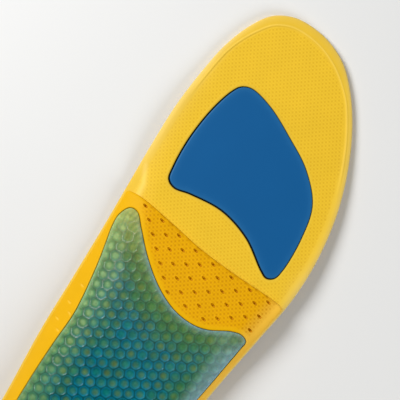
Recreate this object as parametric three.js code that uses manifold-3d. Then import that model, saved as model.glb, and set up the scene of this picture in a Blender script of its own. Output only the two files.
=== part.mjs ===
// Cushioned insole for a left shoe, lying foot side down so that its underside faces up.
// Millimetres: X from the inner (arch) side to the outer side, Y from heel to toe, Z up from the table.

import * as THREE from 'three';
import { mergeGeometries, mergeVertices } from 'three/addons/utils/BufferGeometryUtils.js';
import Module from 'manifold-3d';

// Foot surface: flat at the toe, then rising at a steady slope to the heel seat
const TOE_FLAT_FROM = 118;
const TOE_BEND = 20;
const HEEL_SEAT_HEIGHT = 16;
const HEEL_SEAT_Y = -110;

// Thicknesses of the sheet, the foam, the gel and the pad
const SHEET_TOE = 4.2;
const SHEET_HEEL = 3.0;
const SHEET_RIM = 1.6;
const SHEET_THINS_OVER = 40;
const FOAM_FRONT = 1.6;
const FOAM_HEEL = 5.2;
const FOAM_RIM = 1.5;
const FOAM_GROWS_OVER = 12;
const GEL_MAX = 3.0;
const GEL_FLOOR = 0.8;
const GEL_PROUD = 0.15;
const PAD_DEPTH = 1.8;
const PAD_PROUD = 0.3;

// Gaps between pieces, and how far the foam stops short of the sheet's edge
const GAP = 0.3;
const GEL_GAP = 0.35;
const PAD_GAP = 0.5;
const FOAM_INSET = 1.0;

// Rim and flank: flat lip that meets the table, wall between the inner and outer flank, rounded edge
const RIM_LIP = 1.8;
const WALL = 2.0;
const SHEET_FLANK_EXTRA = 1.0;
const FOAM_FLANK_EXTRA = 2.5;
const EDGE_ROUND = 0.8;
const EDGE_ROUND_WIDTH = 2.5;
const SIDE_BLEND = { inner: -15, outer: 12 };

// Bead that bounds the smooth toe rim: height, half width, distance from the edge, where it fades in
const BEAD_HEIGHT = 0.45;
const BEAD_HALF = 0.9;
const BEAD_INSET_SIDE = 2.7;
const BEAD_INSET_TOE = 4.8;
const BEAD_TOE_FROM = 108;
const BEAD_TOE_TO = 138;
const BEAD_FADE_FROM = 78;
const BEAD_FADE_TO = 98;

// Honeycomb cells of the gel and oval perforations of the foam
const CELL_PITCH = 5.25;
const CELL_WALL = 0.9;
const CELL_DEPTH = 1.5;
const CELL_SKIN = 0.5;
const CELL_MARGIN = 3.2;
const CELL_SIDES = 6;
const CELL_TURN = THREE.MathUtils.degToRad(0.7);
const GEL_BORDER = 0.6;
const CELL_ORIGIN = { x: -0.4, y: -12.6 };
const HOLE_LENGTH = 2.0;
const HOLE_WIDTH = 1.1;
const HOLE_SIDES = 6;
const HOLE_PITCH = 10.5;
const HOLE_START_X = -2.3;
const HOLE_COLUMNS = 4;
const HOLE_ROWS = 7;
const HOLE_FIRST_ROW = 2.1;
const HOLE_ROW_STEP = 3.9;
const HOLE_CLEAR_EDGE = 6;
const HOLE_CLEAR_GEL = 2;
const LATTICE_REACH = 60;
const RIDGE_JUMP = 60;

// Mesh fineness: steps between the points of a plan, and rings from the edge inwards along rays to a spine,
// some at a depth and the inmost at a share of the ray
const EDGE_STEPS = 2;
const EDGE_FINE_STEPS = 6;
const GEL_STEPS = 3;
const PAD_STEPS = 2;
const RING_DEPTHS = [7, 12];
const RING_SHARES = [0.55, 0.85];
const SPINE_END = 95;
const CUT_ABOVE = 6;
const PRISM_TOP = 60;

// Edge of the sheet at stations from heel to toe, with the round heel and toe between the two sides
const EDGE_ROWS = [
  { y: -131, inner: -27.1, outer: 24.1 },
  { y: -118, inner: -34.2, outer: 31.2 },
  { y: -100, inner: -37.6, outer: 34.8 },
  { y: -78, inner: -39.6, outer: 37.4 },
  { y: -50, inner: -42.3, outer: 40.4 },
  { y: -20, inner: -43.7, outer: 43.4 },
  { y: 5, inner: -45.0, outer: 46.2 },
  { y: 30, inner: -46.6, outer: 48.8 },
  { y: 52, inner: -48.0, outer: 48.0 },
  { y: 75, inner: -48.9, outer: 43.7 },
  { y: 95, inner: -47.9, outer: 36.5 },
  { y: 112, inner: -45.7, outer: 27.6 },
  { y: 126, inner: -41.2, outer: 17.2 },
  { y: 136, inner: -35.0, outer: 6.2 },
];
const TOE_END = [[-26.0, 141.3], [-16.3, 142.5], [-5.0, 141.0]];
const HEEL_END = [[11.0, -139.8], [-1.5, -142.5], [-14.0, -139.8]];

// Cup and arch at stations: how far the rim lifts off the table, as a share of the foot surface's height,
// and the width of the flank, on the inner and the outer side
const FORM_ROWS = [
  { y: -142.5, innerLift: 0, outerLift: 0, innerFlank: 12, outerFlank: 12 },
  { y: -100, innerLift: 0, outerLift: 0, innerFlank: 15, outerFlank: 12 },
  { y: -50, innerLift: 0, outerLift: 0.02, innerFlank: 19, outerFlank: 11 },
  { y: -20, innerLift: 0, outerLift: 0.25, innerFlank: 20, outerFlank: 10 },
  { y: 10, innerLift: 0.06, outerLift: 0.65, innerFlank: 18, outerFlank: 10 },
  { y: 35, innerLift: 0.4, outerLift: 0.95, innerFlank: 15, outerFlank: 9 },
  { y: 60, innerLift: 0.88, outerLift: 1, innerFlank: 12, outerFlank: 8 },
  { y: 80, innerLift: 1, outerLift: 1, innerFlank: 10, outerFlank: 8 },
  { y: 142.5, innerLift: 1, outerLift: 1, innerFlank: 10, outerFlank: 8 },
];

// Front edge of the support foam across the midfoot
const RIDGE_ROWS = [
  { x: -48, y: 28.2 },
  { x: -38, y: 29.7 },
  { x: -18, y: 27.5 },
  { x: 0, y: 25.1 },
  { x: 20, y: 24.3 },
  { x: 42, y: 24.3 },
  { x: 50, y: 23.0 },
];

// Plan of the forefoot pad, from its apex round the outer side
const PAD_PLAN = [
  [-23.5, 101.4], [-11.6, 99.3], [4.2, 92.3], [19.3, 84.0], [31.2, 71.7], [35.7, 55.2], [36.7, 38.5],
  [35.6, 33.2], [32.6, 31.3], [28.8, 32.7], [14.2, 41.6], [-2.5, 45.8], [-19.5, 44.0], [-27.5, 42.2],
  [-31.7, 44.1], [-33.3, 50.0], [-34.6, 65.3], [-33.4, 82.5], [-30.6, 94.5], [-28.1, 99.2],
];

// Plan of the gel, from the inner prong over the notch to the outer prong and round the heel
const GEL_PLAN = [
  [-39.1, 22.4], [-35.5, 22.7], [-29.6, 17.4], [-21.0, 9.3], [-11.5, 2.0], [-2.8, -2.9], [6.2, -5.9],
  [15.8, -6.4], [23.0, -4.6], [33.0, 1.1], [37.6, 2.3], [40.9, 1.0], [40.8, -3.0], [39.8, -12.4],
  [38.3, -27.0], [35.6, -48.0], [32.4, -72.0], [28.4, -100.0], [20.8, -119.4], [10.0, -128.6],
  [-1.5, -131.2], [-13.0, -128.6], [-23.4, -119.4], [-30.4, -100.0], [-32.6, -72.0], [-33.0, -50.0],
  [-32.8, -34.0], [-34.1, -22.9], [-37.4, -5.5], [-39.6, 3.3], [-41.5, 11.2], [-41.7, 17.1],
];

const clamp = THREE.MathUtils.clamp;
const lerp = THREE.MathUtils.lerp;
const smoothstep = THREE.MathUtils.smoothstep;

// Plan curves

function closedCurve(points, steps) {
  const corners = points.map(([x, y]) => new THREE.Vector3(x, y, 0));
  const curve = new THREE.CatmullRomCurve3(corners, true, 'centripetal');
  const along = curve.getPoints(points.length * steps).slice(1);
  const plan = along.map((p) => new THREE.Vector2(p.x, p.y));
  return THREE.ShapeUtils.isClockWise(plan) ? plan.reverse() : plan;
}

function edgeCorners() {
  const innerSide = EDGE_ROWS.map((row) => [row.inner, row.y]);
  const outerSide = EDGE_ROWS.map((row) => [row.outer, row.y]).reverse();
  return [...innerSide, ...TOE_END, ...outerSide, ...HEEL_END];
}

// Distance from a point to a closed plan, positive inside
function depthInside(plan, x, y) {
  let nearest = Infinity;
  let inside = false;
  for (let i = 0; i < plan.length; i += 1) {
    const a = plan[i];
    const b = plan[(i + 1) % plan.length];
    const along = clamp(((x - a.x) * (b.x - a.x) + (y - a.y) * (b.y - a.y)) / a.distanceToSquared(b), 0, 1);
    const gap = Math.hypot(x - lerp(a.x, b.x, along), y - lerp(a.y, b.y, along));
    nearest = Math.min(nearest, gap);
    if (a.y > y !== b.y > y && x < a.x + ((y - a.y) / (b.y - a.y)) * (b.x - a.x)) inside = !inside;
  }
  return inside ? nearest : -nearest;
}

// The plan moved outwards by a distance, or inwards where it is negative
function grown(plan, by) {
  return plan.map((p, i) => {
    const before = plan[(i + plan.length - 1) % plan.length];
    const after = plan[(i + 1) % plan.length];
    const along = after.clone().sub(before).normalize();
    return new THREE.Vector2(p.x + along.y * by, p.y - along.x * by);
  });
}

// Smooth value of a column between the rows of a table
function rowValue(rows, key, column, at) {
  const last = rows.length - 1;
  if (at <= rows[0][key]) return rows[0][column];
  if (at >= rows[last][key]) return rows[last][column];
  const k = rows.findIndex((row) => row[key] > at) - 1;
  const slope = (i, j) => (rows[j][column] - rows[i][column]) / (rows[j][key] - rows[i][key]);
  const span = rows[k + 1][key] - rows[k][key];
  const t = (at - rows[k][key]) / span;
  const leave = span * slope(Math.max(k - 1, 0), k + 1);
  const arrive = span * slope(k, Math.min(k + 2, last));
  const start = rows[k][column];
  const end = rows[k + 1][column];
  const rise = end - start;
  return start + leave * t + (3 * rise - 2 * leave - arrive) * t * t + (leave + arrive - 2 * rise) * t ** 3;
}

const OUTLINE = closedCurve(edgeCorners(), EDGE_STEPS);
const EDGE = closedCurve(edgeCorners(), EDGE_FINE_STEPS);
const RIDGE_Y = (x) => rowValue(RIDGE_ROWS, 'x', 'y', x);

// Heights of the surfaces

function footHeight(y) {
  const slope = HEEL_SEAT_HEIGHT / (TOE_FLAT_FROM - HEEL_SEAT_Y - TOE_BEND / 2);
  const behind = TOE_FLAT_FROM - y;
  if (behind <= 0) return 0;
  if (behind < TOE_BEND) return (slope * behind * behind) / (2 * TOE_BEND);
  return slope * (behind - TOE_BEND / 2);
}

// A place on the plan with its distance from the edge, foot height, rim, flank and layer thicknesses
function site(x, y) {
  const share = smoothstep(x, SIDE_BLEND.inner, SIDE_BLEND.outer);
  const sided = (what) => {
    const inner = rowValue(FORM_ROWS, 'y', `inner${what}`, y);
    const outer = rowValue(FORM_ROWS, 'y', `outer${what}`, y);
    return lerp(inner, outer, share);
  };
  const lift = clamp(sided('Lift'), 0, 1);
  const behindRidge = Math.max(RIDGE_Y(x) - y, 0);
  const foot = footHeight(y);
  return {
    x,
    y,
    foot,
    lift,
    edge: Math.max(depthInside(EDGE, x, y), 0),
    rim: lift * foot,
    flank: sided('Flank'),
    sheet: lerp(SHEET_TOE, SHEET_HEEL, smoothstep(behindRidge, 0, SHEET_THINS_OVER)),
    foam: lerp(FOAM_HEEL, FOAM_FRONT, Math.exp(-behindRidge / FOAM_GROWS_OVER)),
  };
}

// A surface that is level with its plateau inside the flank and curves down to the rim at the edge
function flanked(plateau, rim, flank, edge) {
  const out = 1 - Math.min(edge / flank, 1);
  return plateau - (plateau - rim) * out * out;
}

function edgeRound(s) {
  const out = 1 - Math.min(s.edge / EDGE_ROUND_WIDTH, 1);
  return EDGE_ROUND * s.lift * out * out;
}

function bead(s) {
  const inset = beadInset(s.y);
  const off = Math.min(Math.abs(s.edge - inset) / BEAD_HALF, 1);
  return BEAD_HEIGHT * smoothstep(s.y, BEAD_FADE_FROM, BEAD_FADE_TO) * (1 - off * off);
}

function beadInset(y) {
  return lerp(BEAD_INSET_SIDE, BEAD_INSET_TOE, smoothstep(y, BEAD_TOE_FROM, BEAD_TOE_TO));
}

function footSurface(s) {
  return flanked(s.foot, s.rim, s.flank - WALL, Math.max(s.edge - RIM_LIP, 0));
}

function sheetSmooth(s) {
  const rim = s.rim + lerp(SHEET_RIM, s.sheet, s.lift);
  return flanked(s.foot + s.sheet, rim, s.flank + SHEET_FLANK_EXTRA, s.edge) - edgeRound(s);
}

function sheetSurface(s) {
  return sheetSmooth(s) + bead(s);
}

function foamSurface(s) {
  const rim = s.rim + lerp(SHEET_RIM, s.sheet, s.lift) + lerp(FOAM_RIM, s.foam, s.lift);
  return flanked(s.foot + s.sheet + s.foam, rim, s.flank + FOAM_FLANK_EXTRA, s.edge) - edgeRound(s);
}

// Underside of the foam, a true gap above the sheet on the slope of the flank as well
function foamBed(s) {
  const flank = s.flank + SHEET_FLANK_EXTRA;
  const drop = s.foot - s.rim;
  const steep = ((2 * drop) / flank) * (1 - Math.min(s.edge / flank, 1));
  return sheetSmooth(s) + GAP * Math.hypot(1, steep);
}

function outerFace(s) {
  return foamSurface(s) + GEL_PROUD;
}

function gelBed(s) {
  return Math.max(foamSurface(s) - GEL_MAX, foamBed(s) + GEL_FLOOR);
}

// Solids

const wasm = await Module();
wasm.setup();

function toSolid(geometry) {
  const bare = geometry.clone();
  bare.deleteAttribute('normal');
  bare.deleteAttribute('uv');
  const merged = mergeVertices(bare);
  const triangles = [];
  for (let i = 0; i < merged.index.count; i += 3) {
    const [a, b, c] = [0, 1, 2].map((corner) => merged.index.getX(i + corner));
    if (a !== b && b !== c && c !== a) triangles.push(a, b, c);
  }
  const mesh = new wasm.Mesh({
    numProp: 3,
    vertProperties: new Float32Array(merged.attributes.position.array),
    triVerts: new Uint32Array(triangles),
  });
  return new wasm.Manifold(mesh);
}

function toGeometry(solid) {
  const mesh = solid.getMesh();
  const geometry = new THREE.BufferGeometry();
  geometry.setAttribute('position', new THREE.BufferAttribute(mesh.vertProperties, 3));
  geometry.setIndex(new THREE.BufferAttribute(mesh.triVerts, 1));
  geometry.computeVertexNormals();
  return geometry;
}

// Rings of places from the edge inwards, shared by all layers
function planRings() {
  const spine = (y) => {
    const at = clamp(y, -SPINE_END, SPINE_END);
    const middle = (rowValue(EDGE_ROWS, 'y', 'inner', at) + rowValue(EDGE_ROWS, 'y', 'outer', at)) / 2;
    return new THREE.Vector2(middle, at);
  };
  const rays = OUTLINE.map((p) => {
    const ray = spine(p.y).sub(p);
    const inset = beadInset(p.y);
    const depths = [0, inset - BEAD_HALF, inset, inset + BEAD_HALF, ...RING_DEPTHS];
    const shares = [...depths.map((depth) => depth / ray.length()), ...RING_SHARES];
    return shares.map((share) => site(p.x + ray.x * share, p.y + ray.y * share));
  });
  return rays[0].map((_, k) => rays.map((ray) => ray[k]));
}

const RINGS = planRings();
const TOE_TIP = OUTLINE.findIndex((p) => p.y === Math.max(...OUTLINE.map((q) => q.y)));

function meshOf(positions, index) {
  const geometry = new THREE.BufferGeometry();
  geometry.setAttribute('position', new THREE.Float32BufferAttribute(positions, 3));
  geometry.setIndex(index);
  return geometry;
}

// Triangles that fill a plan round its holes, all facing up
function uprightFaces(plan, holes) {
  const corners = [plan, ...holes].flat();
  const faces = THREE.ShapeUtils.triangulateShape(plan, holes);
  const areas = faces.map((face) => THREE.ShapeUtils.area(face.map((i) => corners[i])));
  const facesDown = areas.reduce((sum, area) => sum + area, 0) < 0;
  return facesDown ? faces.map((face) => [...face].reverse()) : faces;
}

// Closed layer between two surfaces over the whole plan: rings from the edge, then pairs across the spine
function layer(upper, lower) {
  const sites = RINGS.flat();
  const positions = [upper, lower].flatMap((height) => sites.flatMap((s) => [s.x, s.y, height(s)]));
  const index = [];
  const face = (a, b, c) => {
    index.push(a, b, c);
    index.push(c + sites.length, b + sites.length, a + sites.length);
  };
  for (let k = 0; k + 1 < RINGS.length; k += 1) {
    for (let i = 0; i < OUTLINE.length; i += 1) {
      const next = (i + 1) % OUTLINE.length;
      const a = k * OUTLINE.length + i;
      const b = k * OUTLINE.length + next;
      face(a, b, b + OUTLINE.length);
      face(a, b + OUTLINE.length, a + OUTLINE.length);
    }
  }
  const first = sites.length - OUTLINE.length;
  const inmost = (i) => first + THREE.MathUtils.euclideanModulo(i, OUTLINE.length);
  for (let k = 0; k < OUTLINE.length / 2; k += 1) {
    const [outer, inner] = [inmost(TOE_TIP - k), inmost(TOE_TIP + k)];
    const [outerNext, innerNext] = [inmost(TOE_TIP - k - 1), inmost(TOE_TIP + k + 1)];
    if (outer !== inner) face(outer, inner, innerNext);
    if (outerNext !== innerNext) face(outer, innerNext, outerNext);
  }
  for (let i = 0; i < OUTLINE.length; i += 1) {
    const next = (i + 1) % OUTLINE.length;
    index.push(i + sites.length, next + sites.length, next);
    index.push(i + sites.length, next, i);
  }
  return toSolid(meshOf(positions, index));
}

// Upright prism over a plan, taller than the part
function prism(plan) {
  const upright = { depth: PRISM_TOP, bevelEnabled: false };
  const geometry = new THREE.ExtrudeGeometry(new THREE.Shape(plan), upright);
  geometry.translate(0, 0, -PRISM_TOP / 2);
  return toSolid(geometry);
}

const raised = (surface, by) => (s) => surface(s) + by;

// Plan of the foam: from the inner end of its front edge round the heel to the outer end, then back across
function foamPlan() {
  const inset = grown(OUTLINE, -FOAM_INSET);
  const behind = inset.filter((p) => p.y < RIDGE_Y(p.x));
  const start = behind.findIndex((p, i) => p.distanceTo(behind.at(i - 1)) > RIDGE_JUMP);
  const front = RIDGE_ROWS.slice(1, -1).map((row) => new THREE.Vector2(row.x, row.y));
  return [...behind.slice(start), ...behind.slice(0, start), ...front.reverse()];
}

// Places of a skewed lattice that a test keeps
function lattice(origin, step, cross, keep) {
  const places = [];
  for (let i = -LATTICE_REACH; i <= LATTICE_REACH; i += 1) {
    for (let j = -LATTICE_REACH; j <= LATTICE_REACH; j += 1) {
      const x = origin.x + i * step.x + j * cross.x;
      const y = origin.y + i * step.y + j * cross.y;
      if (keep(x, y)) places.push(site(x, y));
    }
  }
  return places;
}

// Staggered rows of oval holes that follow the front edge of the foam
function perforations(gelPlan) {
  const cutters = [];
  for (let row = 0; row < HOLE_ROWS; row += 1) {
    for (let column = -HOLE_COLUMNS; column <= HOLE_COLUMNS; column += 1) {
      const x = HOLE_START_X + HOLE_PITCH * (column + (row % 2) / 2);
      const y = RIDGE_Y(x) - HOLE_FIRST_ROW - HOLE_ROW_STEP * row;
      const clearOfEdge = depthInside(EDGE, x, y) > HOLE_CLEAR_EDGE;
      const clearOfGel = depthInside(gelPlan, x, y) < -HOLE_CLEAR_GEL;
      if (clearOfEdge && clearOfGel) cutters.push(ovalCutter(x, y));
    }
  }
  return toSolid(mergeGeometries(cutters));
}

function ovalCutter(x, y) {
  const cutter = new THREE.CylinderGeometry(HOLE_LENGTH / 2, HOLE_LENGTH / 2, PRISM_TOP, HOLE_SIDES);
  cutter.rotateX(Math.PI / 2);
  cutter.scale(1, HOLE_WIDTH / HOLE_LENGTH, 1);
  return cutter.translate(x, y, 0);
}

// Solid below the gel's outer face, with a six-sided pointed cell pressed in at each place of the honeycomb
function cellBlock(gelPlan) {
  const stepAt = (turn) => ({ x: CELL_PITCH * Math.cos(turn), y: CELL_PITCH * Math.sin(turn) });
  const step = stepAt(CELL_TURN + Math.PI / 6);
  const cross = stepAt(CELL_TURN + Math.PI / 2);
  const cells = lattice(CELL_ORIGIN, step, cross, (x, y) => depthInside(gelPlan, x, y) > CELL_MARGIN);
  const border = grown(gelPlan, GEL_BORDER);
  const rims = cells.map(cellRim);
  const face = [border, ...rims].flat().map((p) => site(p.x, p.y));
  const positions = face.flatMap((s) => [s.x, s.y, outerFace(s)]);
  const tips = cells.flatMap((s) => [s.x, s.y, outerFace(s) - cellDepth(s)]);
  const foot = border.flatMap((p) => [p.x, p.y, -PRISM_TOP]);
  const firstTip = face.length;
  const firstFoot = firstTip + cells.length;
  const index = uprightFaces(border, rims).flat();
  cells.forEach((_, cell) => {
    const rim = border.length + cell * CELL_SIDES;
    for (let i = 0; i < CELL_SIDES; i += 1) {
      index.push(rim + i, rim + ((i + 1) % CELL_SIDES), firstTip + cell);
    }
  });
  for (const [a, b, c] of uprightFaces(border, [])) index.push(firstFoot + c, firstFoot + b, firstFoot + a);
  border.forEach((_, i) => {
    const next = (i + 1) % border.length;
    index.push(firstFoot + i, firstFoot + next, next);
    index.push(firstFoot + i, next, i);
  });
  return toSolid(meshOf([...positions, ...tips, ...foot], index));
}

function cellRim(s) {
  const radius = (CELL_PITCH - CELL_WALL) / Math.sqrt(3);
  return Array.from({ length: CELL_SIDES }, (_, i) => {
    const turn = CELL_TURN + (2 * Math.PI * i) / CELL_SIDES;
    return new THREE.Vector2(s.x + radius * Math.cos(turn), s.y + radius * Math.sin(turn));
  });
}

function cellDepth(s) {
  return Math.min(CELL_DEPTH, outerFace(s) - gelBed(s) - CELL_SKIN);
}

// Pieces

const gelPlan = closedCurve(GEL_PLAN, GEL_STEPS);
const padPlan = closedCurve(PAD_PLAN, PAD_STEPS);

function baseSheet() {
  const pocket = layer(raised(sheetSmooth, CUT_ABOVE), raised(sheetSmooth, -PAD_DEPTH - GAP));
  const cut = pocket.intersect(prism(grown(padPlan, PAD_GAP)));
  return layer(sheetSurface, footSurface).subtract(cut);
}

function supportFoam() {
  const recess = layer(raised(foamSurface, CUT_ABOVE), raised(gelBed, -GAP));
  const cut = recess.intersect(prism(grown(gelPlan, GEL_GAP)));
  const slab = layer(foamSurface, foamBed).intersect(prism(foamPlan()));
  return slab.subtract(cut).subtract(perforations(gelPlan));
}

function heelGel() {
  const bed = layer(raised(foamSurface, CUT_ABOVE), gelBed);
  return bed.intersect(prism(gelPlan)).intersect(cellBlock(gelPlan));
}

function forefootPad() {
  return layer(raised(sheetSmooth, PAD_PROUD), raised(sheetSmooth, -PAD_DEPTH)).intersect(prism(padPlan));
}

const FINISHES = {
  base_sheet: { make: baseSheet, color: 0xeec83c, roughness: 0.85 },
  support_foam: { make: supportFoam, color: 0xf0b214, roughness: 0.8 },
  heel_gel: { make: heelGel, color: 0x148a8c, roughness: 0.25 },
  forefoot_pad: { make: forefootPad, color: 0x1c5c94, roughness: 0.45 },
};

const insole = new THREE.Group();
for (const [name, { make, color, roughness }] of Object.entries(FINISHES)) {
  const material = new THREE.MeshStandardMaterial({ color, roughness, metalness: 0 });
  const mesh = new THREE.Mesh(toGeometry(make()), material);
  mesh.name = name;
  insole.add(mesh);
}

export default insole;
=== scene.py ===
# %% [markdown]
# # A cushioned insole, dressed for its portrait
#
# The object is the left insole of a pair, lying foot side down, so that its underside looks up at us.
# Four pieces make it: a pale foam sheet, a perforated foam that carries the arch and heel, a honeycomb
# gel let into that foam, and a smooth blue pad let into the sheet under the ball of the foot.
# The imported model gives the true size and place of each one. Here each gets a finer mesh on the same
# surfaces, then a finish of its own.

# %% Load the fixed frame
import math
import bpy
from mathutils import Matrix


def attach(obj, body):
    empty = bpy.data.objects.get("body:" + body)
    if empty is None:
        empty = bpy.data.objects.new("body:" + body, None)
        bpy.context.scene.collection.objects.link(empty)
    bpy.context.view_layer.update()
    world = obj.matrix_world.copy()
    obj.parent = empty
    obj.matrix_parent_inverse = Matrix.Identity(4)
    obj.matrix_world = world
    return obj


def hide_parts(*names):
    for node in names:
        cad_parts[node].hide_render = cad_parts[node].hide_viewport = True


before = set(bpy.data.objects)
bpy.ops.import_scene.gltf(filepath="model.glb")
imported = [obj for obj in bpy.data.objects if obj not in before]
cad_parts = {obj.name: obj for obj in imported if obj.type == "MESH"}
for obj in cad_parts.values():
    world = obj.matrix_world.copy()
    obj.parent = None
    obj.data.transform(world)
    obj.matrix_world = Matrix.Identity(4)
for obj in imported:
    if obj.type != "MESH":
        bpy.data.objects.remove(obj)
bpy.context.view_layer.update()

from types import SimpleNamespace

import bpy
import numpy as np
from mathutils import Vector
from mathutils.geometry import delaunay_2d_cdt

MM = 0.001

# %% [markdown]
# ## Plan curves
#
# Everything on an insole starts as a cutting plan: a closed curve through a few measured points.
# A Bezier circle edited by hand would do, but a centripetal Catmull-Rom curve runs through its points
# without loops or overshoot, so a short table of real measures is all that has to be kept.

# %% Curves and rings on the plan
CURVE_STEPS = 24


def hermite(start, rise, leave, arrive, t):
    """Cubic from a start over a rise, with the slopes at which it leaves and arrives."""
    return start + leave * t + (3 * rise - 2 * leave - arrive) * t**2 + (leave + arrive - 2 * rise) * t**3


def closed_curve(points):
    """Smooth closed curve through the points, running counter-clockwise."""
    p1 = np.asarray(points, float)
    p0, p2, p3 = np.roll(p1, 1, 0), np.roll(p1, -1, 0), np.roll(p1, -2, 0)
    d0, d1, d2 = (np.sqrt(np.linalg.norm(b - a, axis=1))[:, None] for a, b in ((p0, p1), (p1, p2), (p2, p3)))
    leave = d1 * ((p1 - p0) / d0 - (p2 - p0) / (d0 + d1) + (p2 - p1) / d1)
    arrive = d1 * ((p2 - p1) / d1 - (p3 - p1) / (d1 + d2) + (p3 - p2) / d2)
    rise = p2 - p1
    t = (np.arange(CURVE_STEPS) / CURVE_STEPS)[:, None, None]
    ring = hermite(p1, rise, leave, arrive, t).transpose(1, 0, 2).reshape(-1, 2)
    x, y = ring.T
    area = np.sum(x * np.roll(y, -1) - y * np.roll(x, -1))
    return ring if area > 0 else ring[::-1]


def evenly(ring, spacing):
    """The same ring with its points a near-constant distance apart."""
    closed = np.vstack([ring, ring[:1]])
    along = np.concatenate([[0], np.cumsum(np.linalg.norm(np.diff(closed, axis=0), axis=1))])
    count = round(along[-1] / spacing)
    marks = np.arange(count) * along[-1] / count
    return np.column_stack([np.interp(marks, along, closed[:, k]) for k in (0, 1)])


def grown(ring, by):
    """The ring moved outwards by a distance, or by one distance for each point."""
    along = np.roll(ring, -1, 0) - np.roll(ring, 1, 0)
    outward = np.column_stack([along[:, 1], -along[:, 0]])
    outward /= np.linalg.norm(outward, axis=1)[:, None]
    return ring + outward * np.reshape(by, (-1, 1))


def rings(ring, depths):
    """Rings at several depths inside a border, or beyond it where a depth is negative."""
    return [grown(ring, -depth) for depth in depths]


circle = closed_curve([(1, 0), (0, 1), (-1, 0), (0, -1)])
print(f"a ring through 4 points: {len(circle)} points")

# %% Distances and blends
DISTANCE_CHUNK = 2000


def depth_inside(ring, points):
    """How far each point lies from a closed ring, positive inside it."""
    start, end = ring, np.roll(ring, -1, 0)
    run = end - start
    level = np.where(run[:, 1] == 0, 1, run[:, 1])
    depth = np.empty(len(points))
    for first in range(0, len(points), DISTANCE_CHUNK):
        some = points[first : first + DISTANCE_CHUNK, None, :]
        away = some - start
        along = np.clip((away * run).sum(2) / (run**2).sum(1), 0, 1)
        gap = np.sqrt(((away - along[..., None] * run) ** 2).sum(2).min(1))
        spans = (start[:, 1] > some[..., 1]) != (end[:, 1] > some[..., 1])
        crossed = spans & (some[..., 0] < start[:, 0] + away[..., 1] / level * run[:, 0])
        inside = crossed.sum(1) % 2 == 1
        depth[first : first + DISTANCE_CHUNK] = np.where(inside, gap, -gap)
    return depth


def smoothstep(value, low, high):
    t = np.clip((value - low) / (high - low), 0, 1)
    return t * t * (3 - 2 * t)


def lerp(a, b, t):
    return a + (b - a) * t


print(f"depth at the middle of that ring: {depth_inside(circle, np.zeros((1, 2)))[0]:.2f}")

# %% [markdown]
# ## The measured plans
#
# These are the insole's own measures in millimetres: the width of the sheet at stations from heel to
# toe, the front edge of the arch foam, and the plans of the pad and of the gel with its two prongs.

# %% Plans of the sheet, the foam's front edge, the pad and the gel
# Station from heel to toe, inner edge, outer edge
EDGE_ROWS = [
    (-131, -27.1, 24.1), (-118, -34.2, 31.2), (-100, -37.6, 34.8), (-78, -39.6, 37.4), (-50, -42.3, 40.4),
    (-20, -43.7, 43.4), (5, -45.0, 46.2), (30, -46.6, 48.8), (52, -48.0, 48.0), (75, -48.9, 43.7),
    (95, -47.9, 36.5), (112, -45.7, 27.6), (126, -41.2, 17.2), (136, -35.0, 6.2),
]
TOE_END = [(-26.0, 141.3), (-16.3, 142.5), (-5.0, 141.0)]
HEEL_END = [(11.0, -139.8), (-1.5, -142.5), (-14.0, -139.8)]
RIDGE_ROWS = [(-48, 28.2), (-38, 29.7), (-18, 27.5), (0, 25.1), (20, 24.3), (42, 24.3), (50, 23.0)]
PAD_PLAN = [
    (-23.5, 101.4), (-11.6, 99.3), (4.2, 92.3), (19.3, 84.0), (31.2, 71.7), (35.7, 55.2), (36.7, 38.5),
    (35.6, 33.2), (32.6, 31.3), (28.8, 32.7), (14.2, 41.6), (-2.5, 45.8), (-19.5, 44.0), (-27.5, 42.2),
    (-31.7, 44.1), (-33.3, 50.0), (-34.6, 65.3), (-33.4, 82.5), (-30.6, 94.5), (-28.1, 99.2),
]
GEL_PLAN = [
    (-39.1, 22.4), (-35.5, 22.7), (-29.6, 17.4), (-21.0, 9.3), (-11.5, 2.0), (-2.8, -2.9), (6.2, -5.9),
    (15.8, -6.4), (23.0, -4.6), (33.0, 1.1), (37.6, 2.3), (40.9, 1.0), (40.8, -3.0), (39.8, -12.4),
    (38.3, -27.0), (35.6, -48.0), (32.4, -72.0), (28.4, -100.0), (20.8, -119.4), (10.0, -128.6),
    (-1.5, -131.2), (-13.0, -128.6), (-23.4, -119.4), (-30.4, -100.0), (-32.6, -72.0), (-33.0, -50.0),
    (-32.8, -34.0), (-34.1, -22.9), (-37.4, -5.5), (-39.6, 3.3), (-41.5, 11.2), (-41.7, 17.1),
]
EDGE_SPACING = 1.2
RING_SPACING = 0.7

inner_side = [(inner, y) for y, inner, _ in EDGE_ROWS]
outer_side = [(outer, y) for y, _, outer in reversed(EDGE_ROWS)]
EDGE = evenly(closed_curve([*inner_side, *TOE_END, *outer_side, *HEEL_END]), EDGE_SPACING)
PAD_RING = evenly(closed_curve(PAD_PLAN), RING_SPACING)
GEL_RING = evenly(closed_curve(GEL_PLAN), RING_SPACING)
print(f"edge {len(EDGE)} points, pad {len(PAD_RING)} points, gel {len(GEL_RING)} points")

# %% [markdown]
# ## The surfaces
#
# A moulded insole is a stack of surfaces over one plan: the foot side, the underside of the sheet, the
# underside of the foam. Each is level across the middle and curls down along its flank to the rim that
# cups the heel. Writing them as height functions of the plan keeps all four pieces on the same curves,
# which is hard to hold by pushing vertices about.

# %% What the insole is like at each point of its plan
TOE_FLAT_FROM, TOE_BEND = 118, 20
HEEL_SEAT_HEIGHT, HEEL_SEAT_Y = 16, -110
SHEET_TOE, SHEET_HEEL, SHEET_THINS_OVER = 4.2, 3.0, 40
FOAM_FRONT, FOAM_HEEL, FOAM_GROWS_OVER = 1.6, 5.2, 12
ACROSS = (-15, 12)
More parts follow.
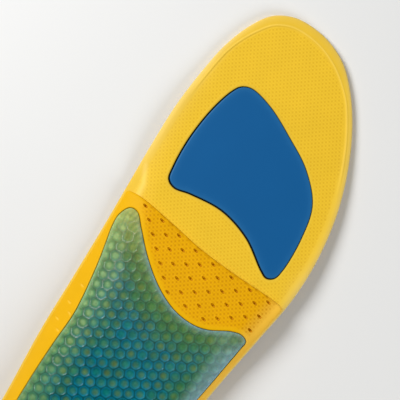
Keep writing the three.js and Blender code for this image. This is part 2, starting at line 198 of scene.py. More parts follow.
# Station, how far the rim lifts off the table (inner, outer), width of the flank (inner, outer)
FORM_ROWS = [
    (-142.5, 0, 0, 12, 12), (-100, 0, 0, 15, 12), (-50, 0, 0.02, 19, 11), (-20, 0, 0.25, 20, 10),
    (10, 0.06, 0.65, 18, 10), (35, 0.4, 0.95, 15, 9), (60, 0.88, 1, 12, 8), (80, 1, 1, 10, 8),
    (142.5, 1, 1, 10, 8),
]


def between_rows(rows, column, at):
    """Smooth value of a column between the rows of a table, whose first column is the place."""
    table = np.array(rows, float)
    keys, values, last = table[:, 0], table[:, column], len(rows) - 1
    at = np.clip(at, keys[0], keys[-1])
    k = np.clip(np.searchsorted(keys, at, side="right") - 1, 0, last - 1)
    before, after = np.maximum(k - 1, 0), np.minimum(k + 2, last)
    span, rise = keys[k + 1] - keys[k], values[k + 1] - values[k]
    leave = span * (values[k + 1] - values[before]) / (keys[k + 1] - keys[before])
    arrive = span * (values[after] - values[k]) / (keys[after] - keys[k])
    return hermite(values[k], rise, leave, arrive, (at - keys[k]) / span)


def ridge_y(x):
    return between_rows(RIDGE_ROWS, 1, x)


def foot_height(y):
    slope = HEEL_SEAT_HEIGHT / (TOE_FLAT_FROM - HEEL_SEAT_Y - TOE_BEND / 2)
    behind = np.maximum(TOE_FLAT_FROM - y, 0)
    return slope * np.where(behind < TOE_BEND, behind**2 / (2 * TOE_BEND), behind - TOE_BEND / 2)


def sites(points):
    """What the insole is like at each point of the plan."""
    x, y = points.T
    share = smoothstep(x, *ACROSS)
    lift = np.clip(lerp(between_rows(FORM_ROWS, 1, y), between_rows(FORM_ROWS, 2, y), share), 0, 1)
    behind = np.maximum(ridge_y(x) - y, 0)
    foot = foot_height(y)
    return SimpleNamespace(
        x=x, y=y, foot=foot, lift=lift, rim=lift * foot,
        edge=np.maximum(depth_inside(EDGE, points), 0),
        flank=lerp(between_rows(FORM_ROWS, 3, y), between_rows(FORM_ROWS, 4, y), share),
        sheet=lerp(SHEET_TOE, SHEET_HEEL, smoothstep(behind, 0, SHEET_THINS_OVER)),
        foam=lerp(FOAM_HEEL, FOAM_FRONT, np.exp(-behind / FOAM_GROWS_OVER)),
    )


seat = sites(np.array([(0.0, HEEL_SEAT_Y)]))
print(f"heel seat: sheet {seat.sheet[0]:.1f} mm and foam {seat.foam[0]:.1f} mm thick")

# %% Heights of the foot side, the sheet and the foam
SHEET_RIM, FOAM_RIM, RIM_LIP, WALL = 1.6, 1.5, 1.8, 2.0
SHEET_FLANK_EXTRA, FOAM_FLANK_EXTRA = 1.0, 2.5
EDGE_ROUND, EDGE_ROUND_WIDTH = 0.8, 2.5
GAP = 0.3


def flanked(plateau, rim, flank, edge):
    """Level inside the flank, then curving down to the rim at the edge."""
    out = 1 - np.minimum(edge / flank, 1)
    return plateau - (plateau - rim) * out**2


def edge_round(s):
    return EDGE_ROUND * s.lift * (1 - np.minimum(s.edge / EDGE_ROUND_WIDTH, 1)) ** 2


def foot_surface(s):
    return flanked(s.foot, s.rim, s.flank - WALL, np.maximum(s.edge - RIM_LIP, 0))


def sheet_surface(s):
    rim = s.rim + lerp(SHEET_RIM, s.sheet, s.lift)
    return flanked(s.foot + s.sheet, rim, s.flank + SHEET_FLANK_EXTRA, s.edge) - edge_round(s)


def foam_surface(s):
    rim = s.rim + lerp(SHEET_RIM, s.sheet, s.lift) + lerp(FOAM_RIM, s.foam, s.lift)
    plateau = s.foot + s.sheet + s.foam
    return flanked(plateau, rim, s.flank + FOAM_FLANK_EXTRA, s.edge) - edge_round(s)


def foam_bed(s):
    flank = s.flank + SHEET_FLANK_EXTRA
    steep = 2 * (s.foot - s.rim) / flank * (1 - np.minimum(s.edge / flank, 1))
    return sheet_surface(s) + GAP * np.hypot(1, steep)


print(f"heel seat: {foot_surface(seat)[0]:.1f} mm up, foam up to {foam_surface(seat)[0]:.1f} mm")

# %% [markdown]
# ## From plan to closed mesh
#
# A piece is two skins over the same plan, an upper and a lower, and a wall round each border. The skins
# are triangulated by Blender's own constrained Delaunay routine: the borders go in as edges that have to
# stay, and extra seed points go in wherever the surface has something to show. Booleans on a dense mesh
# would leave slivers that shade badly, and this leaves none.

# %% Seeds, fillets and the filling of a plan
FILLET_TURNS = np.radians([22.5, 45, 67.5, 90])
CDT_WHOLE, CDT_TOLERANCE = 0, 1e-7


def fillet_depths(radius):
    """Distances from a border at which a rounded edge needs a ring of points."""
    return radius * (1 - np.cos(FILLET_TURNS))


def rounding(depth, radius):
    """How far a rounded edge lies below its surface."""
    short = radius - np.clip(depth, 0, radius)
    return radius - np.sqrt(np.maximum(radius**2 - short**2, 0))


def filled(loops, seeds):
    """Points and counter-clockwise triangles that fill the first loop round the others, through the seeds."""
    points = np.vstack([*loops, *seeds])
    edges, first = [], 0
    for loop in loops:
        count = len(loop)
        edges += [(first + i, first + (i + 1) % count) for i in range(count)]
        first += count
    made = delaunay_2d_cdt([Vector(p) for p in points], edges, [], CDT_WHOLE, CDT_TOLERANCE)
    _, _, triangles, origins, _, _ = made
    source = np.array([origin[0] for origin in origins])
    faces = source[np.array(triangles)]
    bare = (faces < first).all(1)
    middles = points[faces[bare]].mean(1)
    inside = depth_inside(loops[0], middles) > 0
    for hole in loops[1:]:
        inside &= depth_inside(hole, middles) < 0
    keep = ~bare
    keep[bare] = inside
    return points, faces[keep]


def seeds_on(step, cross, low, high):
    """Points of a skewed lattice over a box of the plan."""
    basis = np.column_stack([step, cross])
    box = np.array([(x, y) for x in (low[0], high[0]) for y in (low[1], high[1])])
    reach = np.linalg.solve(basis, box.T)
    ranges = [np.arange(math.floor(r.min()), math.ceil(r.max()) + 1) for r in reach]
    i, j = np.meshgrid(*ranges, indexing="ij")
    points = np.column_stack([i.ravel(), j.ravel()]) @ basis.T
    return points[((points >= low) & (points <= high)).all(1)]


def even_seeds(pitch, low, high):
    return seeds_on((pitch, 0), (pitch / 2, pitch * math.sqrt(3) / 2), low, high)


def inside_only(ring, pitch, depth):
    """Even seeds that lie deep enough inside a ring."""
    seeds = even_seeds(pitch, ring.min(0), ring.max(0))
    return seeds[depth_inside(ring, seeds) > depth]


PLAN_LOW, PLAN_HIGH = EDGE.min(0), EDGE.max(0)
print("plan in mm:", np.round(PLAN_HIGH - PLAN_LOW, 1))

# %% Skins, walls and the welding of a piece
WELD_DIGITS = 5
SHARP_ANGLE = math.radians(42)


def skin(points, faces, heights, facing_up=True, **paints):
    corners = np.column_stack([points, heights])
    return corners, faces if facing_up else faces[:, ::-1], paints


def wall(loop, low, high, outward=True, foot=None, **paints):
    """Strip between heights that start with those of a closed loop, upright unless it has a foot."""
    count = len(loop)
    foot = loop if foot is None else foot
    corners = np.vstack([np.column_stack([foot, low[:count]]), np.column_stack([loop, high[:count]])])
    here = np.arange(count)
    after = (here + 1) % count
    faces = np.vstack([
        np.column_stack([here, after, after + count]),
        np.column_stack([here, after + count, here + count]),
    ])
    return corners, faces if outward else faces[:, ::-1], paints


def placed(name, data):
    """A new object in the scene."""
    made = bpy.data.objects.new(name, data)
    bpy.context.scene.collection.objects.link(made)
    return made


def welded(name, parts):
    """One closed mesh object from skins and walls, each with the values it was painted with."""
    corners = np.vstack([corners for corners, _, _ in parts])
    starts = np.cumsum([0] + [len(corners) for corners, _, _ in parts[:-1]])
    faces = np.vstack([faces + start for (_, faces, _), start in zip(parts, starts)])
    rounded = np.round(corners, WELD_DIGITS)
    _, keep, place = np.unique(rounded, axis=0, return_index=True, return_inverse=True)
    faces = place.reshape(-1)[faces]
    distinct = (faces != np.roll(faces, 1, axis=1)).all(1)
    mesh = bpy.data.meshes.new(name)
    mesh.from_pydata((corners[keep] * MM).tolist(), [], faces[distinct].tolist())
    for label in sorted({label for _, _, paints in parts for label in paints}):
        values = [np.broadcast_to(paints.get(label, 0.0), len(some)) for some, _, paints in parts]
        layer = mesh.attributes.new(label, "FLOAT", "POINT")
        layer.data.foreach_set("value", np.concatenate(values)[keep].astype(np.float32))
    mesh.polygons.foreach_set("use_smooth", np.ones(len(mesh.polygons), bool))
    mesh.set_sharp_from_angle(angle=SHARP_ANGLE)
    mesh.update()
    piece = placed(name, mesh)
    sides = np.sort(np.vstack([faces[distinct][:, [i, (i + 1) % 3]] for i in range(3)]), axis=1)
    _, uses = np.unique(sides, axis=0, return_counts=True)
    print(f"{name}: {len(mesh.polygons)} triangles, closed: {(uses == 2).all()}")
    return piece


# %% [markdown]
# ## The embossed grid
#
# The mould presses a fine diamond grid into both foams, with dimples deep and shallow by turns, like
# the squares of a chequer board. It repeats every 1.7 to 1.9 mm: too small to count, just large enough
# to feel. A bump texture could fake it, but then the mesh would be blank. So the seeds of a skin sit on
# the grid's own lattice, four to a repeat, and the dimples are real.

# %% The diamond grid as a lattice and a height
EMBOSS_TURNS = np.radians([30.6, -50.2])
EMBOSS_SAMPLES = 4
GRID_LEVEL, GRID_SQUARES, GRID_CHEQUERS = 0.46, 0.12, 0.34
SHEET_GRID, FOAM_GRID = (1.67, 1.74), (1.79, 1.90)


def grid_waves(pitches):
    return np.column_stack([np.cos(EMBOSS_TURNS), np.sin(EMBOSS_TURNS)]) / np.reshape(pitches, (2, 1))


def grid_seeds(pitches):
    step, cross = np.linalg.inv(grid_waves(pitches)).T / EMBOSS_SAMPLES
    return seeds_on(step, cross, PLAN_LOW, PLAN_HIGH)


def emboss(points, pitches):
    """Depth share of the pressed grid: a deep dimple in each square and a shallow one on each corner."""
    across = np.cos(2 * np.pi * points @ grid_waves(pitches).T)
    return GRID_LEVEL + GRID_SQUARES * across.sum(1) + GRID_CHEQUERS * across.prod(1)


for name, pitches in (("sheet", SHEET_GRID), ("foam", FOAM_GRID)):
    print(f"{name} grid: {len(grid_seeds(pitches))} seeds over the whole plan")

# %% [markdown]
# ## The foam sheet
#
# The sheet is the insole's backbone: die-cut foam, a little over 4 mm thick at the toe. A fine bead
# parts its smooth rim from the embossed field, and a soft fold lies where the inner edge starts to curl
# down ahead of the arch. Both could be bevelled curves laid on top, but as part of the skin's height
# they can't come loose from it. Its cut edge is paler than its skin, and painted highlight lightens the
# bead, the fold and the flanks near the edge.

# %% Sheet: bead, fold and cut edge
BEAD_HEIGHT, BEAD_HALF = 0.24, 0.6
GROOVE_DEPTH, GROOVE_HALF = 0.10, 0.35
BEAD_INSET_SIDE, BEAD_INSET_TOE = 2.7, 4.8
BEAD_TOE_FROM, BEAD_TOE_FROM_OUTER, BEAD_TOE_TO = 108, 120, 138
BEAD_FADE = (78, 98)
# The fold, from front to back
CREASE = np.array([(-46.9, 47.0), (-43.2, 40.4), (-40.6, 35.5), (-39.6, 29.0)])
CREASE_HALF, CREASE_FRONT_FADE, CREASE_BACK_FADE = 1.7, 4, 3
# Station, how far the pale edge fades in (inner, outer), how pale it is on the inner side
# The pale edge is the cut foam's own paler colour, widened over the flanks as painted highlight where they
# turn from the light
PALE_EDGE_ROWS = [
    (-142.5, 0.9, 0.9, 0.15), (20, 0.9, 1.2, 0.15), (34, 0.8, 2.2, 0.3), (52, 2.3, 1.4, 0.7),
    (90, 2.3, 1.3, 0.75), (112, 1.2, 1.1, 0.8), (142.5, 0.7, 0.7, 0.7),
]


def bead_inset(x, y):
    start = lerp(BEAD_TOE_FROM, BEAD_TOE_FROM_OUTER, smoothstep(x, *ACROSS))
    return lerp(BEAD_INSET_SIDE, BEAD_INSET_TOE, smoothstep(y, start, BEAD_TOE_TO))


def bead(s):
    """Height and share of a fine raised line with a shallow groove along its inner side."""
    off = s.edge - bead_inset(s.x, s.y)
    fade = smoothstep(s.y, *BEAD_FADE)
    line = fade * (1 - np.minimum(np.abs(off) / BEAD_HALF, 1) ** 2)
    groove = fade * (1 - np.minimum(np.abs(off - BEAD_HALF - GROOVE_HALF) / GROOVE_HALF, 1) ** 2)
    return BEAD_HEIGHT * line - GROOVE_DEPTH * groove, line


def crease(points):
    """Share of the soft fold beside the arch."""
    x, y = points.T
    across = np.interp(y, CREASE[::-1, 1], CREASE[::-1, 0]) - x
    front, back = CREASE[0, 1], CREASE[-1, 1]
    ends = smoothstep(y, back - CREASE_BACK_FADE, back) - smoothstep(y, front - CREASE_FRONT_FADE, front)
    return ends * np.exp(-((across / CREASE_HALF) ** 2))


def edge_paleness(points, edge):
    """How pale the edge is painted at a distance from it: the cut foam's own colour, widened as painted
    highlight.
    """
    x, y = points.T
    share = smoothstep(x, *ACROSS)
    fade = lerp(between_rows(PALE_EDGE_ROWS, 1, y), between_rows(PALE_EDGE_ROWS, 2, y), share)
    return lerp(between_rows(PALE_EDGE_ROWS, 3, y), 1, share) * np.exp(-edge / fade)


print(f"bead: {BEAD_HEIGHT} mm high, {BEAD_INSET_SIDE} to {BEAD_INSET_TOE} mm in from the edge")

# %% [markdown]
# ### The outer face of the sheet
#
# Rings of points follow the rounded edge, the bead and the pocket's lip, so that each catches the light
# along its whole length. Between them the seeds sit on the grid's lattice. Painted values go along with
# the points: the finish will need to know where the foam is pressed and cut, where painted highlight
# lightens it, and where painted shade darkens the seam round the pad.

# %% Sheet: outer face
BEAD_RINGS = np.array([-1.2, -0.85, -0.67, -0.5, -0.25, 0, 0.25, 0.5, 0.67, 0.85, 1.03, 1.2])
BEAD_REACH = BEAD_RINGS[-1]
RIM_DEPTHS = [0.9, 1.25]
SHEET_TOP_FILLET, POCKET_FILLET, PAD_GAP = 0.5, 0.5, 0.5
HIDDEN_PITCH, SEED_CLEAR = 4, 0.45
SHEET_EMBOSS, CREASE_HEIGHT = 0.17, 0.25
# Where the pressed grid starts and is full, measured from the bead and from the pocket
GRID_PAST_BEAD, GRID_PAST_POCKET = (BEAD_REACH - 0.2, BEAD_REACH + 0.6), (0.8, 1.8)
# Where the rim turns to the outer side, and the share of the field's brighter colour on it, and on the bead
# as painted highlight
RIM_TURNS, RIM_LIT, BEAD_LIT = (0, 14), 0.5, 0.6
# How much painted highlight lightens the bead and the fold
BEAD_HIGHLIGHT, CREASE_HIGHLIGHT = 0.25, 0.42
# Painted shade in the seam round the pad: how fast it fades out over the lip, and how strong it is there
SEAM_SHADE_FADE, SEAM_SHADE_CREEP = 0.45, 0.15

POCKET = grown(PAD_RING, PAD_GAP)


def sheet_seeds():
    """Fine seeds on the grid ahead of the ridge, coarse ones where the foam hides the sheet."""
    fine = grid_seeds(SHEET_GRID)
    fine = fine[fine[:, 1] > ridge_y(fine[:, 0]) - GAP]
    hidden = even_seeds(HIDDEN_PITCH, PLAN_LOW, PLAN_HIGH)
    hidden = hidden[hidden[:, 1] < ridge_y(hidden[:, 0]) - HIDDEN_PITCH]
    seeds = np.vstack([fine, hidden])
    clear = depth_inside(EDGE, seeds) > bead_inset(*seeds.T) + BEAD_REACH + SEED_CLEAR
    clear &= depth_inside(POCKET, seeds) < -POCKET_FILLET - SEED_CLEAR
    return seeds[clear]


rims = rings(EDGE, [*fillet_depths(SHEET_TOP_FILLET), *RIM_DEPTHS])
rims += rings(EDGE, [bead_inset(*EDGE.T) + off for off in BEAD_RINGS])
lips = rings(POCKET, -fillet_depths(POCKET_FILLET))
points, faces = filled([EDGE, POCKET], [*rims, *lips, sheet_seeds()])
s = sites(points)
beyond = -depth_inside(POCKET, points)
raised, line = bead(s)
fold = crease(points)
field = smoothstep(s.edge - bead_inset(s.x, s.y), *GRID_PAST_BEAD) * smoothstep(beyond, *GRID_PAST_POCKET)
pressed = emboss(points, SHEET_GRID) * field * (1 - fold)
top = sheet_surface(s) + raised + CREASE_HEIGHT * fold - SHEET_EMBOSS * pressed
top -= rounding(s.edge, SHEET_TOP_FILLET) + rounding(beyond, POCKET_FILLET)
# Painted: the field's brighter colour, with painted highlight on the bead; the pale edge, widened as painted
# highlight; painted shade in the pad's seam
paints = {
    "pressed": pressed,
    "field": np.max([field, RIM_LIT * smoothstep(s.x, *RIM_TURNS), BEAD_LIT * line], axis=0),
    "cut": np.max([edge_paleness(points, s.edge), BEAD_HIGHLIGHT * line, CREASE_HIGHLIGHT * fold], axis=0),
    "bond": SEAM_SHADE_CREEP * np.exp(-np.maximum(beyond, 0) / SEAM_SHADE_FADE),
}
print(f"outer face of the sheet: {len(points)} points")

# %% Sheet: foot side, pocket and welding
SHEET_FOOT_FILLET = 0.4
FOOT_DEPTHS = [0.9, 1.35, 1.8, 2.3, 3, 4, 5.5, 7.5, 10, 13, 16, 19]
PAD_DEPTH, FLOOR_CLEAR = 1.8, 1.0


def floored(ring, pitch, height):
    """A plain skin that fills a ring, at a height worked out for each point."""
    points, faces = filled([ring], [inside_only(ring, pitch, FLOOR_CLEAR)])
    return points, faces, height(sites(points))


floor = floored(POCKET, HIDDEN_PITCH, lambda s: sheet_surface(s) - PAD_DEPTH - GAP)
foot_rings = rings(EDGE, [*fillet_depths(SHEET_FOOT_FILLET), *FOOT_DEPTHS])
foot_seeds = inside_only(EDGE, HIDDEN_PITCH, FOOT_DEPTHS[-1] + FLOOR_CLEAR)
foot_points, foot_faces = filled([EDGE], [*foot_rings, foot_seeds])
foot_sites = sites(foot_points)
foot = foot_surface(foot_sites) + rounding(foot_sites.edge, SHEET_FOOT_FILLET)
sheet_piece = welded("base_sheet_embossed", [
    skin(points, faces, top, **paints),
    skin(foot_points, foot_faces, foot, facing_up=False),
    # The pocket's floor and wall are painted near-black: painted shade in the seam round the pad
    skin(*floor, bond=1.0),
    wall(EDGE, foot, top, cut=np.tile(edge_paleness(EDGE, 0), 2)),
    wall(POCKET, floor[2], top[len(EDGE) :], outward=False, bond=1.0),
])

# %% [markdown]
# ## The support foam
#
# Behind the ridge a firmer, more orange foam is bonded on. It swells from the ridge to the heel, wraps
# the arch, and is punched with rows of small oval vents. A recess holds the gel. The rows follow the
# ridge, so they are laid out from it, and a vent is left out where it would run into the edge or the gel.
# On the steep arch side the punch only left shallow dents.

# %% Foam: outline, recess and vents
FOAM_INSET, FOAM_SPACING, RIDGE_POINTS = 1.0, 1.0, 90
GEL_GAP, GEL_MAX, GEL_FLOOR = 0.35, 3.0, 0.8
VENT_HALF, VENT_TURN, VENT_POINTS = np.array([1.3, 0.575]), math.radians(-11), 18
VENT_PITCH, VENT_START_X, VENT_COLUMNS = 10.5, -2.3, 4
VENT_FIRST_ROW, VENT_ROW_STEP, VENT_ROWS = 2.1, 3.9, 7
VENT_CLEAR_EDGE, VENT_CLEAR_GEL = 6, 2
DENTS = [(-37.5, -20.6), (-38.1, -30.6), (-38.5, -40.2), (-35.0, -34.6), (-35.2, -44.3)]

vent_along = (math.cos(VENT_TURN), math.sin(VENT_TURN))
vent_axes = np.array([vent_along, (-vent_along[1], vent_along[0])])


def gel_bed(s):
    return np.maximum(foam_surface(s) - GEL_MAX, foam_bed(s) + GEL_FLOOR)


def foam_ring():
    """Sheet's edge a little inside, from the ridge's inner end round the heel, then back along the ridge."""
    inset = grown(EDGE, -FOAM_INSET)
    ahead = inset[:, 1] > ridge_y(inset[:, 0])
    first = np.flatnonzero(ahead & ~np.roll(ahead, -1))[0] + 1
    round_heel = np.roll(inset, -first, axis=0)[: (~ahead).sum()]
    across = np.linspace(round_heel[-1, 0], round_heel[0, 0], RIDGE_POINTS)[1:-1]
    return evenly(np.vstack([round_heel, np.column_stack([across, ridge_y(across)])]), FOAM_SPACING)


def vent_places():
    """Staggered rows that follow the ridge, wherever they clear the edge and the gel."""
    columns = np.arange(-VENT_COLUMNS, VENT_COLUMNS + 1)
    row, column = np.meshgrid(np.arange(VENT_ROWS), columns, indexing="ij")
    x = (VENT_START_X + VENT_PITCH * (column + row % 2 / 2)).ravel()
    places = np.column_stack([x, ridge_y(x) - VENT_FIRST_ROW - VENT_ROW_STEP * row.ravel()])
    clear = depth_inside(EDGE, places) > VENT_CLEAR_EDGE
    return places[clear & (depth_inside(GEL_RING, places) < -VENT_CLEAR_GEL)]


def vent_loop(place, more=0.0, share=1.0):
    turn = 2 * np.pi * np.arange(VENT_POINTS) / VENT_POINTS
    half = share * (VENT_HALF + more)
    return place + (np.column_stack([np.cos(turn), np.sin(turn)]) * half) @ vent_axes


def vent_reach(points, place, more=0.0):
    """Distance from the middle of a vent, 1 on its border."""
    return np.linalg.norm((points - place) @ vent_axes.T / (VENT_HALF + more), axis=1)


def clear_of_vents(seeds, more=0.0):
    for place in VENTS:
        seeds = seeds[vent_reach(seeds, place, more) > 1]
    return seeds


FOAM_EDGE, RECESS = foam_ring(), grown(GEL_RING, GEL_GAP)
VENTS = vent_places()
VENT_MOUTHS = [vent_loop(place) for place in VENTS]
print(f"vents: {len(VENTS)} through, {len(DENTS)} dents on the arch")

# %% [markdown]
# ### The outer face of the foam
#
# The foam has a coarser grid than the sheet, which fades out towards the gel, the edges and the arch.
# The vents' loops go into the triangulation as holes, with collars of points round them for a rounded
# lip. The vents' walls and lips are painted darker, as painted shade down the holes, and painted light
# lightens the outer flank and each dent.

# %% Foam: outer face
FOAM_FILLET, RECESS_FILLET, VENT_FILLET = 0.85, 0.7, 0.15
VENT_COLLARS, VENT_CLEAR = (0.05, VENT_FILLET, 0.35), 0.6
FOAM_PITCH, FINE_FROM_Y = 1.5, -47
FOAM_EMBOSS = 0.22
# Where the pressed grid starts and is full: out from the recess, in from the edge, across, along, off a vent
FOAM_PAST_RECESS, FOAM_PAST_EDGE, FOAM_ACROSS, FOAM_ALONG = (1.2, 3.0), (3.5, 7), (-38, -31), (-16, -8)
FOAM_PAST_VENT = (0.1, 0.4)
DENT_DEPTH, DENT_REACH = 0.6, (0.25, 1.15)
# Where painted light lightens the outer flank near the edge, and how far painted shade spreads out of a vent
OUTER_FLANK, OUTER_FADE, VENT_SHADE_FADE = (15, 34), (4, 12), 0.1


def foam_seeds():
    """Fine seeds on the grid, plain ones towards the heel."""
    fine = grid_seeds(FOAM_GRID)
    plain = even_seeds(FOAM_PITCH, PLAN_LOW, PLAN_HIGH)
    seeds = np.vstack([fine[fine[:, 1] > FINE_FROM_Y], plain[plain[:, 1] <= FINE_FROM_Y]])
    clear = depth_inside(FOAM_EDGE, seeds) > FOAM_FILLET + SEED_CLEAR
    clear &= depth_inside(RECESS, seeds) < -RECESS_FILLET - SEED_CLEAR
    return clear_of_vents(seeds[clear], VENT_CLEAR)


rims, lips = rings(FOAM_EDGE, fillet_depths(FOAM_FILLET)), rings(RECESS, -fillet_depths(RECESS_FILLET))
collars = [vent_loop(place, more) for place in VENTS for more in VENT_COLLARS]
seeds = [*rims, *lips, *collars, foam_seeds()]
points, faces = filled([FOAM_EDGE, RECESS, *VENT_MOUTHS], seeds)
s = sites(points)
inward, beyond = depth_inside(FOAM_EDGE, points), -depth_inside(RECESS, points)
from_vent = np.min([(vent_reach(points, place) - 1) * VENT_HALF[1] for place in VENTS], axis=0)
dent = np.max([1 - smoothstep(vent_reach(points, place), *DENT_REACH) for place in DENTS], axis=0)
field = smoothstep(beyond, *FOAM_PAST_RECESS) * smoothstep(s.edge, *FOAM_PAST_EDGE)
field *= smoothstep(s.x, *FOAM_ACROSS) * smoothstep(s.y, *FOAM_ALONG)
pressed = emboss(points, FOAM_GRID) * field * smoothstep(from_vent, *FOAM_PAST_VENT)
top = foam_surface(s) - FOAM_EMBOSS * pressed - DENT_DEPTH * dent
top -= rounding(inward, FOAM_FILLET) + rounding(beyond, RECESS_FILLET) + rounding(from_vent, VENT_FILLET)
# Painted: light on the outer flank, a highlight in each dent, and shade in and round the vents
paints = {
    "pressed": pressed,
    "field": field,
    "outer": smoothstep(s.x, *OUTER_FLANK) * (1 - smoothstep(s.edge, *OUTER_FADE)),
    "dent": dent,
    "vent": np.exp(-np.maximum(from_vent, 0) / VENT_SHADE_FADE),
}
print(f"outer face of the foam: {len(points)} points")

# %% Foam: bed, recess, vents and welding
BED_CLEAR = 1.5
VENT_THROAT, VENT_FUNNEL = 0.25, 0.35

throats = [vent_loop(place, share=VENT_THROAT) for place in VENTS]
bed_seeds = clear_of_vents(inside_only(FOAM_EDGE, HIDDEN_PITCH, BED_CLEAR))
bed_points, bed_faces = filled([FOAM_EDGE, *throats], [bed_seeds])
bed = foam_bed(sites(bed_points))
floor = floored(RECESS, HIDDEN_PITCH / 2, lambda s: gel_bed(s) - GAP)
rim, lip = len(FOAM_EDGE), len(RECESS)
parts = [
    skin(points, faces, top, **paints),
    skin(bed_points, bed_faces, bed, facing_up=False),
    skin(*floor),
    wall(FOAM_EDGE, bed, top),
    wall(RECESS, floor[2], top[rim:], outward=False),
]
# Vent walls are painted brown: painted shade down the holes
for k, (loop, throat) in enumerate(zip(VENT_MOUTHS, throats)):
    start = rim + k * VENT_POINTS
    bottom, mouth = bed[start:], top[start + lip :][:VENT_POINTS]
    neck = np.full(VENT_POINTS, mouth.min() - VENT_FUNNEL)
    parts.append(wall(loop, neck, mouth, outward=False, foot=throat, vent=1.0))
    parts.append(wall(throat, bottom, neck, outward=False, vent=1.0))
foam_piece = welded("support_foam_perforated", parts)

# %% [markdown]
# ## The honeycomb gel
#
# The gel is poured into the recess and pressed with a honeycomb of shallow, round-bottomed cells. An
# array of one modelled cell would be the usual way, but then the border would cut it badly. Here each
# point of the skin finds its nearest cell, and how far it lies from that cell's middle. No two cells of
# a real gel look alike, so each draws its own cast and its own olive spot, from a fixed seed.

# %% Gel: the cells
CELL_PITCH, CELL_TURN, CELL_ORIGIN = 5.25, math.radians(0.7), (-0.4, -12.6)
CELL_ROUND, CELL_CUT, CELL_SEED = 8, 1.6, 5
SPOT_LEAN, SPOT_STRAY = np.array([0.2, -0.3]), 0.3

cell_turns = CELL_TURN + np.radians([30, 90, 150])
cell_ways = np.column_stack([np.cos(cell_turns), np.sin(cell_turns)])
gel_box = GEL_RING.min(0) - CELL_ORIGIN, GEL_RING.max(0) - CELL_ORIGIN
CELLS = seeds_on(cell_ways[0] * CELL_PITCH, cell_ways[1] * CELL_PITCH, *gel_box) + CELL_ORIGIN
CELLS = CELLS[depth_inside(GEL_RING, CELLS) > -CELL_CUT]


def nearest_cell(points):
    """Which cell each point lies in, and how far out in it: 0 at the middle, 1 half way to the next one."""
    cell, reach = np.zeros(len(points), int), np.full(len(points), np.inf)
    for k, centre in enumerate(CELLS):
        near = np.flatnonzero((np.abs(points - centre) < CELL_PITCH).all(1))
        across = np.abs((points[near] - centre) @ cell_ways.T) / (CELL_PITCH / 2)
        found = (across**CELL_ROUND).sum(1) ** (1 / CELL_ROUND)
        closer = found < reach[near]
        reach[near[closer]], cell[near[closer]] = found[closer], k
    return cell, reach


draw = np.random.default_rng(CELL_SEED)
CELL_CAST, CELL_OLIVE = draw.random((2, len(CELLS)))
SPOT_MIDDLES = CELLS + SPOT_LEAN + draw.normal(0, SPOT_STRAY, CELLS.shape)
print(f"gel: {len(CELLS)} cells, {CELL_PITCH} mm apart")

# %% [markdown]
# ### Light in the gel
#
# A clear gel shows what lies under it and beside it. Its thick heart is a deep blue, and the thin tip of its
# inner prong lets the yellow foam through. The cells on the inner side are painted a lighter mint as painted
# light, and a pale painted reflection runs along the outer border. Volume shading and real light would work
# all this out, slowly and with noise. Shares of each zone, painted on the points, give the finish the same
# information at no cost.

# %% Gel: zones and paints
CELL_FADE = (0.4, 2.2)
TIP_THIN, TIP_FADE = 1.8, 13
TIP_STREAK, TIP_STREAK_PITCH, STREAK_WANDER, STREAK_WAVES = 0.75, 1.9, 2.5, (3, 2.3)
SIDE_STEP, FACING_INNER, INNER_FLANK = 0.5, (-0.2, 0.5), (15, 26)
# Painted light: a lighter mint on the cells of the inner side, strongest on their floors
MINT_EDGE, MINT_FADE, MINT_WALL, MINT_REACH = 1.8, 12, 0.25, (0.25, 0.8)
MINT_HEEL, MINT_ALONG = 0.6, (-65, -5)
# Painted reflection along the border, fading in from it, and widest on the outer side
HAZE_FADE, OUTER_HAZE_FADE, HAZE_ACROSS, HAZE_BACK = 1.2, 8.0, (26, 36), (-2, 12)
HEART_DEPTH, INNER_HEART, INNER_HEART_DEPTH, CAST_SWING = (2, 24), 0.22, (1.5, 5), 0.5
SPOT_REACH, SPOT_CLEAR = (0.1, 0.95), (0.6, 0.9)
GLINT_REACH, GLINT_FLAT, GLINT_BEND = (0.6, 0.9), 0.25, (4, 16)


def tip_share(s):
    """How near a point is to the thin front of the gel, 1 at the tips of its prongs."""
    return np.minimum(TIP_THIN * np.exp(-np.maximum(ridge_y(s.x) - s.y, 0) / TIP_FADE), 1)


